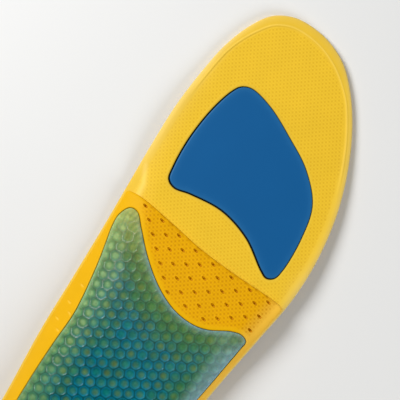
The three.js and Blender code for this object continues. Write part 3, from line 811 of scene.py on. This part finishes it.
def gel_paints(g, s):
    """What the finish needs to know at each point of the gel's outer face."""
    depth = np.maximum(g.depth, 0)
    facing = (depth_inside(g.ring, g.points + (SIDE_STEP, 0)) - depth) / SIDE_STEP
    inner = smoothstep(facing, *FACING_INNER) * smoothstep(-s.x, *INNER_FLANK)
    lit = inner * lerp(MINT_HEEL, 1, smoothstep(s.y, *MINT_ALONG))
    floors = lerp(1, MINT_WALL, smoothstep(g.reach, *MINT_REACH)) * np.exp(-depth / MINT_FADE)
    outer = smoothstep(s.x, *HAZE_ACROSS) * smoothstep(-s.y, *HAZE_BACK)
    fade = lerp(HAZE_FADE, OUTER_HAZE_FADE, outer)
    wander = STREAK_WANDER * np.sin(s.y / STREAK_WAVES[1] + s.x / STREAK_WAVES[0])
    streak = 0.5 + 0.5 * np.sin(2 * np.pi * s.x / TIP_STREAK_PITCH + wander)
    askew = np.linalg.norm(g.strayed - SPOT_MIDDLES[g.cell], axis=1) / (CELL_PITCH / 2)
    spot = (1 - smoothstep(askew, *SPOT_REACH)) * (1 - smoothstep(g.reach, *SPOT_CLEAR))
    bent = lerp(GLINT_FLAT, 1, smoothstep(-s.x, *GLINT_BEND)) * (1 - g.tip)
    heart = smoothstep(g.depth, *HEART_DEPTH) + INNER_HEART * inner * smoothstep(g.depth, *INNER_HEART_DEPTH)
    cast = CAST_SWING * (CELL_CAST[g.cell] - 0.5) * np.minimum(2 * heart, 1)
    # The mint share is painted light on the inner side, and the pale share along the border a painted
    # reflection
    return {
        "cell_wall": 1 - g.pressed,
        "glint": bent * smoothstep(g.reach, *GLINT_REACH) * smoothstep(g.depth, *CELL_FADE),
        "spot": CELL_OLIVE[g.cell] * spot,
        "heart": np.clip(heart + cast, 0, 1),
        "tip": g.tip * lerp(TIP_STREAK, 1, streak),
        "mint": lit * np.maximum(np.exp(-depth / MINT_EDGE), floors),
        "haze": (1 - inner) * np.exp(-depth / fade) * (1 - g.tip),
    }


# %% Gel: skins and wall
GEL_PROUD, GEL_FILLET, GEL_SNUG = 0.15, 0.5, 0.15
GEL_RIM_DEPTH, GEL_SEED_CLEAR, CELL_SAMPLES = 0.8, 0.3, 13
CELL_DEPTH, CELL_SKIN, CELL_BOWL = 1.0, 0.5, (0.3, 0.97)
JUMBLE, JUMBLE_WAVES, TIP_FLAT = 0.7, np.array([(0.9, 0.55), (-0.5, 1.05)]), 0.6

ring = grown(GEL_RING, GEL_SNUG)
step, cross = cell_ways[:2] * CELL_PITCH / CELL_SAMPLES
seeds = seeds_on(step, cross, ring.min(0), ring.max(0))
seeds = seeds[depth_inside(ring, seeds) > GEL_RIM_DEPTH + GEL_SEED_CLEAR]
points, faces = filled([ring], [*rings(ring, [*fillet_depths(GEL_FILLET), GEL_RIM_DEPTH]), seeds])
s = sites(points)
g = SimpleNamespace(ring=ring, points=points, depth=depth_inside(ring, points), tip=tip_share(s))
g.strayed = points + JUMBLE * g.tip[:, None] * np.sin(points @ JUMBLE_WAVES.T)
g.cell, g.reach = nearest_cell(g.strayed)
g.pressed = (1 - smoothstep(g.reach, *CELL_BOWL)) * smoothstep(g.depth, *CELL_FADE)
face, bed = foam_surface(s) + GEL_PROUD, gel_bed(s)
top = face - g.pressed * np.minimum(CELL_DEPTH, face - bed - CELL_SKIN) * (1 - TIP_FLAT * g.tip)
top -= rounding(g.depth, GEL_FILLET)
print(f"gel: {(top - bed).min():.2f} to {(top - bed).max():.2f} mm thick")
under = floored(ring, HIDDEN_PITCH / 2, gel_bed)
gel_piece = welded("heel_gel_honeycomb", [
    skin(points, faces, top, **gel_paints(g, s)),
    skin(*under, facing_up=False, cell_wall=1.0),
    wall(ring, under[2], top, cell_wall=1.0),
])

# %% [markdown]
# ## The forefoot pad
#
# A plain elastomer pad, let into the sheet and standing a little proud of it. All its character is in
# its outline and its rounded edge, so the mesh spends its points there. It sits a hair off the middle of
# its pocket, which makes the dark seam round it wider on one side. Painted shade darkens that seam, and
# a painted highlight lightens the pad's edge.

# %% Pad: skins and wall
PAD_PROUD, PAD_FILLET, PAD_RIM_DEPTH, PAD_HIGHLIGHT_FADE = 0.3, 0.6, 1.0, 1.0
PAD_PITCH, PAD_SEED_CLEAR = 2.0, 1.6
PAD_SHIFT = (0.16, 0.24)

ring = PAD_RING + PAD_SHIFT
rims = rings(ring, [*fillet_depths(PAD_FILLET), PAD_RIM_DEPTH])
points, faces = filled([ring], [*rims, inside_only(ring, PAD_PITCH, PAD_SEED_CLEAR)])
surface = sheet_surface(sites(points))
depth = depth_inside(ring, points)
top, under = surface + PAD_PROUD - rounding(depth, PAD_FILLET), surface - PAD_DEPTH
# A lighter blue is painted along the pad's edge and sides: painted highlight
border = np.exp(-np.maximum(depth, 0) / PAD_HIGHLIGHT_FADE)
pad_piece = welded("forefoot_pad_smooth", [
    skin(points, faces, top, border=border),
    skin(points, faces, under, facing_up=False, border=border),
    wall(ring, under, top, border=1.0),
])

# %% [markdown]
# ## Shared effects
#
# Foam is never one colour: its skin is mottled over centimetres and grained by its cells at a tenth of a
# millimetre. And every finish here lays one colour over another, wherever the mesh was painted for it.
# These three effects serve several finishes, so each is a node group, built once and given its own
# values in each material.

# %% Node groups: mottle, grain and painted mix
WHITE, BLACK = (1, 1, 1, 1), (0, 0, 0, 1)
MOTTLE_DETAIL, GRAIN_DETAIL, NOISE_MIDDLE = 3.0, 2.0, 0.5


def group(name, inputs, outputs):
    """An empty node group with a named socket for each value, a colour where the value is one."""
    tree = bpy.data.node_groups.new(name, "ShaderNodeTree")
    for way, sockets in (("INPUT", inputs), ("OUTPUT", outputs)):
        for label, value in sockets.items():
            kind = "NodeSocketColor" if isinstance(value, tuple) else "NodeSocketFloat"
            socket = tree.interface.new_socket(label, in_out=way, socket_type=kind)
            socket.default_value = value
    return tree, tree.nodes.new("NodeGroupInput").outputs, tree.nodes.new("NodeGroupOutput").inputs


def feed(tree, socket, value):
    """Links a socket to another one, or sets it to a plain value."""
    if isinstance(value, bpy.types.NodeSocket):
        tree.links.new(value, socket)
    else:
        socket.default_value = value


def math_node(tree, operation, a, b):
    node = tree.nodes.new("ShaderNodeMath")
    node.operation = operation
    for socket, value in zip(node.inputs, (a, b)):
        feed(tree, socket, value)
    return node.outputs[0]


def noise(tree, scale, detail, swing, middle):
    """A cloudy noise, and a value that it swings about a middle."""
    place = tree.nodes.new("ShaderNodeTexCoord")
    texture = tree.nodes.new("ShaderNodeTexNoise")
    texture.inputs["Detail"].default_value = detail
    feed(tree, texture.inputs["Vector"], place.outputs["Object"])
    feed(tree, texture.inputs["Scale"], scale)
    cloud = texture.outputs["Fac"]
    off = math_node(tree, "MULTIPLY", math_node(tree, "SUBTRACT", cloud, NOISE_MIDDLE), swing)
    return cloud, math_node(tree, "ADD", off, middle)


def mottle_group():
    inputs = {"Colour": WHITE, "Scale": 60.0, "Amount": 0.1}
    tree, given, made = group("mottled_colour", inputs, {"Colour": WHITE})
    scaled = tree.nodes.new("ShaderNodeVectorMath")
    scaled.operation = "SCALE"
    _, factor = noise(tree, given["Scale"], MOTTLE_DETAIL, given["Amount"], 1.0)
    feed(tree, scaled.inputs[0], given["Colour"])
    feed(tree, scaled.inputs["Scale"], factor)
    feed(tree, made["Colour"], scaled.outputs[0])
    return tree


def grain_group():
    inputs = {"Scale": 2500.0, "Roughness": 0.6, "Spread": 0.1}
    tree, given, made = group("foam_grain", inputs, {"Height": 0.0, "Roughness": 0.0})
    cells, rough = noise(tree, given["Scale"], GRAIN_DETAIL, given["Spread"], given["Roughness"])
    feed(tree, made["Height"], cells)
    feed(tree, made["Roughness"], rough)
    return tree


def painted_group():
    inputs = {"Plain": WHITE, "Painted": BLACK, "Mask": 0.0, "Amount": 1.0}
    tree, given, made = group("painted_mix", inputs, {"Colour": WHITE})
    mix = tree.nodes.new("ShaderNodeMix")
    mix.data_type = "RGBA"
    feed(tree, mix.inputs["Factor"], math_node(tree, "MULTIPLY", given["Mask"], given["Amount"]))
    feed(tree, mix.inputs["A"], given["Plain"])
    feed(tree, mix.inputs["B"], given["Painted"])
    feed(tree, made["Colour"], mix.outputs["Result"])
    return tree


MOTTLE, GRAIN, PAINTED = mottle_group(), grain_group(), painted_group()
for tree in (MOTTLE, GRAIN, PAINTED):
    print(f"group {tree.name}: {[item.name for item in tree.interface.items_tree]}")

# %% [markdown]
# ## The finishes
#
# Each finish is a Principled BSDF whose colour is laid up in steps: the body colour, then what the mesh
# remembers (pressed dimples, cut edges, vents, zones of the gel, and painted light and shade among them),
# then a mottle over all. The last step is a fine grain in the normal and the roughness.

# %% Helpers for a material
GRAIN_DISTANCE = 0.0001
MOTTLED = "mottled"


def material(name, **plain):
    """A material with one Principled shader and its plain socket values."""
    made = bpy.data.materials.new(name)
    made.use_nodes = True
    shader = made.node_tree.nodes["Principled BSDF"]
    for label, value in plain.items():
        shader.inputs[label.replace("_", " ")].default_value = value
    return made, made.node_tree, shader


def use(tree, source, **given):
    """A shared group placed in a material, fed by values or by other nodes."""
    node = tree.nodes.new("ShaderNodeGroup")
    node.node_tree = source
    for label, value in given.items():
        feed(tree, node.inputs[label], value)
    return node.outputs


def remembered(tree, label):
    """What the mesh was painted with."""
    node = tree.nodes.new("ShaderNodeAttribute")
    node.attribute_name = label
    return node.outputs["Fac"]


def toned(tree, shade):
    """One colour as it is, or a ramp of several from the floor of a cell to the wall between cells."""
    if isinstance(shade, tuple):
        return (*shade, 1.0)
    node = tree.nodes.new("ShaderNodeValToRGB")
    elements = node.color_ramp.elements
    while len(elements) < len(shade):
        elements.new(0.5)
    for element, (place, tone) in zip(elements, shade):
        element.position = place
        element.color = (*tone, 1.0)
    feed(tree, node.inputs["Fac"], remembered(tree, "cell_wall"))
    return node.outputs["Color"]


def layered(tree, shade, layers):
    """A first colour with others over it, each where the mesh was painted for it, and with mottles."""
    shade = toned(tree, shade)
    for label, over, amount in layers:
        if label == MOTTLED:
            shade = use(tree, MOTTLE, Colour=shade, Scale=over, Amount=amount)["Colour"]
        else:
            over, mask = toned(tree, over), remembered(tree, label)
            shade = use(tree, PAINTED, Plain=shade, Painted=over, Mask=mask, Amount=amount)["Colour"]
    return shade


def finished(name, shade, layers, grain, **plain):
    """A material with its colours laid up in order and a fine grain in its normal and roughness."""
    made, tree, shader = material(name, **plain)
    feed(tree, shader.inputs["Base Color"], layered(tree, shade, layers))
    scale, roughness, spread, bump = grain
    cells = use(tree, GRAIN, Scale=scale, Roughness=roughness, Spread=spread)
    relief = tree.nodes.new("ShaderNodeBump")
    relief.inputs["Strength"].default_value = bump
    relief.inputs["Distance"].default_value = GRAIN_DISTANCE
    feed(tree, relief.inputs["Height"], cells["Height"])
    feed(tree, shader.inputs["Normal"], relief.outputs["Normal"])
    feed(tree, shader.inputs["Roughness"], cells["Roughness"])
    print(f"{name}: {[label for label, _, _ in layers]}")
    return made, tree, shader


# %% [markdown]
# ### Foam finishes
#
# The sheet is a pale lemon foam, the support foam a deeper orange. Both are matte and closed-celled.
# Dimples of the grid are painted with a little shade, the vents' walls brown as painted shade down the
# holes, and the pad's seam near-black as painted shade; pale edges, dents and the outer flank carry painted
# light.

# %% Sheet and support foam finishes
SHEET_RIM_COLOUR, FOAM_COLOUR = (0.79, 0.50, 0.032), (0.80, 0.425, 0.001)
# What the mesh was painted for, the colour there and how much of it, or the scale and amount of a mottle
SHEET_LAYERS = [
    ("field", (0.90, 0.585, 0.03), 1.0),
    # Painted shade in the dimples
    ("pressed", (0.64, 0.35, 0.008), 0.8),
    # Pale cut edge, widened as painted highlight on the flanks, the bead and the fold
    ("cut", (0.92, 0.69, 0.22), 0.85),
    (MOTTLED, 90.0, 0.12),
    # Near-black painted shade in the seam round the pad
    ("bond", (0.006, 0.007, 0.010), 1.0),
]
FOAM_LAYERS = [
    ("field", (0.90, 0.465, 0.001), 1.0),
    # Painted light on the outer flank
    ("outer", (0.95, 0.54, 0.05), 1.0),
    # Painted shade in the dimples
    ("pressed", (0.52, 0.21, 0.0), 0.9),
    # Painted shade down the vents
    ("vent", (0.55, 0.22, 0.001), 1.0),
    # Painted highlight in the dents
    ("dent", (1.0, 0.64, 0.08), 0.6),
    (MOTTLED, 80.0, 0.14),
]
# Scale, roughness, its spread and the bump of the grain
SHEET_GRAIN, FOAM_GRAIN = (2600.0, 0.62, 0.15, 0.25), (2300.0, 0.58, 0.15, 0.22)

sheet_finish, _, _ = finished(
    "embossed_sheet_foam", SHEET_RIM_COLOUR, SHEET_LAYERS, SHEET_GRAIN, Roughness=0.6, Specular_IOR_Level=0.2
)
foam_finish, _, _ = finished(
    "perforated_support_foam", FOAM_COLOUR, FOAM_LAYERS, FOAM_GRAIN, Roughness=0.6, Specular_IOR_Level=0.1
)

# %% [markdown]
# ### Gel and pad finishes
#
# The gel's colour runs from the floor of each cell to the dark wall between cells, by two colour ramps:
# one for its borders and one for its deep heart. The painted zones go over them, the mint and the pale
# border among them painted light. A little subsurface light softens it all, and a clear coat on the cell
# walls alone gives the glints. True refraction would need far more samples for the same look. The pad is
# the same blue all through, satin from the mould, with a painted highlight along its edge.

# %% Gel and pad finishes
# Share of the way from the floor of a cell to its wall, colour
GEL_RIM_STOPS = [(0.0, (0.030, 0.16, 0.040)), (0.9, (0.030, 0.16, 0.060)), (1.0, (0.008, 0.08, 0.035))]
GEL_HEART_STOPS = [(0.0, (0.0, 0.165, 0.16)), (0.9, (0.0, 0.165, 0.26)), (1.0, (0.0, 0.075, 0.09))]
GEL_LAYERS = [
    ("heart", GEL_HEART_STOPS, 1.0),
    ("spot", (0.105, 0.16, 0.035), 0.8),
    # Painted light on the inner cells
    ("mint", (0.34, 0.54, 0.25), 0.9),
    ("tip", (0.50, 0.51, 0.13), 0.85),
    # Painted reflection along the border
    ("haze", (0.30, 0.50, 0.58), 0.8),
    (MOTTLED, 120.0, 0.5),
    (MOTTLED, 480.0, 0.6),
]
GEL_GLINT_COAT = 0.4
PAD_COLOUR = (0.006, 0.098, 0.28)
# The lighter blue along the pad's edge is a painted highlight
PAD_LAYERS = [("border", (0.02, 0.14, 0.34), 1.0), (MOTTLED, 40.0, 0.08)]
GEL_GRAIN, PAD_GRAIN = (900.0, 0.5, 0.12, 0.08), (1800.0, 0.42, 0.08, 0.05)

gel_finish, gel_tree, gel_shader = finished(
    "honeycomb_gel", GEL_RIM_STOPS, GEL_LAYERS, GEL_GRAIN, Roughness=0.5, Specular_IOR_Level=0.03,
    Coat_Roughness=0.12, Subsurface_Weight=0.3, Subsurface_Radius=(0.2, 0.8, 1.0), Subsurface_Scale=0.001,
)
glints = math_node(gel_tree, "MULTIPLY", remembered(gel_tree, "glint"), GEL_GLINT_COAT)
feed(gel_tree, gel_shader.inputs["Coat Weight"], glints)
pad_finish, _, _ = finished(
    "smooth_blue_pad", PAD_COLOUR, PAD_LAYERS, PAD_GRAIN, Roughness=0.42, Specular_IOR_Level=0.15
)

# %% [markdown]
# ## Putting the pieces on the frame
#
# Each finished piece takes the place of its plain solid and rides on the one body of the insole. All four
# are foam or gel.

# %% Finish, ride and replace
DRESSED = [
    (sheet_piece, sheet_finish, "base_sheet", "sheet_foam"),
    (foam_piece, foam_finish, "support_foam", "support_foam"),
    (gel_piece, gel_finish, "heel_gel", "gel"),
    (pad_piece, pad_finish, "forefoot_pad", "pad"),
]
for piece, finish, node, slot in DRESSED:
    piece.data.materials.append(finish)
    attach(piece, "root")
    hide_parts(node)
    print(f"{piece.name} stands for {node}, finish {finish.name}")

# %% [markdown]
# ## Floor, light and camera
#
# The portrait looks straight down on the underside, turned so that the toe points to the upper right.
# A large soft light on the inner side models the bend of the arch and puts the glints on the gel. A
# weaker one opposite keeps the outer flank open. It stays out of reflections, where it would grey the gel.

# %% Floor
FLOOR_SIZE, FLOOR_DROP = 3.0, 0.0002
half = FLOOR_SIZE / 2
floor_corners = [(-half, -half), (half, -half), (half, half), (-half, half)]
floor_mesh = bpy.data.meshes.new("floor")
floor_mesh.from_pydata([(x, y, -FLOOR_DROP) for x, y in floor_corners], [], [(0, 1, 2, 3)])
floor = placed("floor", floor_mesh)
floor_finish, _, _ = material("pale_floor", Roughness=0.8, Base_Color=(0.78, 0.78, 0.77, 1.0))
floor.data.materials.append(floor_finish)
print(f"floor: {FLOOR_SIZE} m square, finish {floor_finish.name}")

# %% Lights
LOOK_AT = Vector((-0.0141, 0.0441, 0.006))
WORLD_STRENGTH = 0.12


def softbox(name, place, size, watts):
    light = bpy.data.lights.new(name, "AREA")
    light.shape = "DISK"
    light.size = size
    light.energy = watts
    holder = placed(name, light)
    holder.visible_camera = False
    holder.location = place
    holder.rotation_euler = (LOOK_AT - Vector(place)).to_track_quat("-Z", "Y").to_euler()
    return holder


key = softbox("key_light", place=(-0.62, 0.16, 0.62), size=0.45, watts=7.6)
fill = softbox("fill_light", place=(0.62, -0.10, 0.50), size=0.5, watts=3.2)
fill.visible_glossy = False
world = bpy.data.worlds.new("studio")
world.use_nodes = True
sky = world.node_tree.nodes["Background"].inputs
sky["Color"].default_value = WHITE
sky["Strength"].default_value = WORLD_STRENGTH
bpy.context.scene.world = world
bpy.context.scene.view_settings.view_transform = "Standard"
print(f"lights: key {key.data.energy:.1f} W, fill {fill.data.energy:.1f} W, sky {WORLD_STRENGTH}")

# %% Camera
PHOTO_TURN = math.radians(34.2)
PHOTO_WIDTH = 0.190
CAMERA_HEIGHT = 0.75
SENSOR_WIDTH = 36.0
camera = bpy.data.cameras.new("camera")
camera.sensor_width = SENSOR_WIDTH
camera.lens = SENSOR_WIDTH * CAMERA_HEIGHT / PHOTO_WIDTH
tripod = placed("camera", camera)
tripod.location = LOOK_AT + Vector((0, 0, CAMERA_HEIGHT))
tripod.rotation_euler = (0, 0, PHOTO_TURN)
bpy.context.scene.camera = tripod
print(f"camera: {camera.lens:.0f} mm lens, {CAMERA_HEIGHT} m above the insole")
